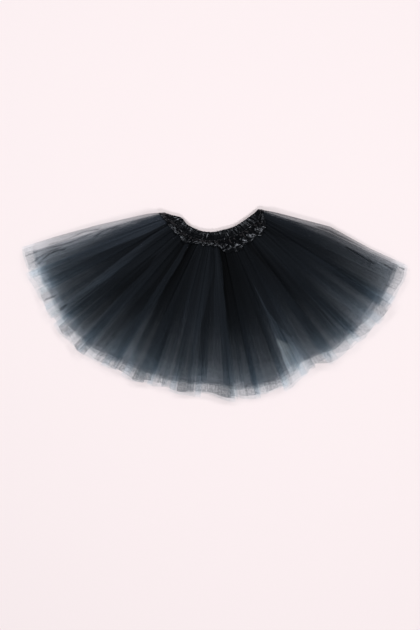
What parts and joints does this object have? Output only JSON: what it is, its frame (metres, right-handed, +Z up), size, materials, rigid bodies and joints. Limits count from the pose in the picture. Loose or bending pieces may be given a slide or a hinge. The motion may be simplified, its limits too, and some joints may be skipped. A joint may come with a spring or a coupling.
{
  "type": "tutu skirt",
  "caption": "Child's tutu skirt of gathered black net under a satin waistband, laid flat and fanned out.",
  "frame": {"origin": "on the surface that the skirt lies on, under the middle of its bounding box", "axes": "+X across the fanned-out skirt, +Y from the hem towards the waist, +Z up off the surface"},
  "size_m": [0.704, 0.3508, 0.0282],
  "materials": {
    "satin": "gathered black polyester satin with a soft gloss",
    "net": "soft black nylon net, see-through in one layer"
  },
  "bodies": {
    "root": {"waistband": "satin", "tulle_outer": "net", "tulle_middle": "net", "tulle_inner": "net"}
  },
  "joints": []
}
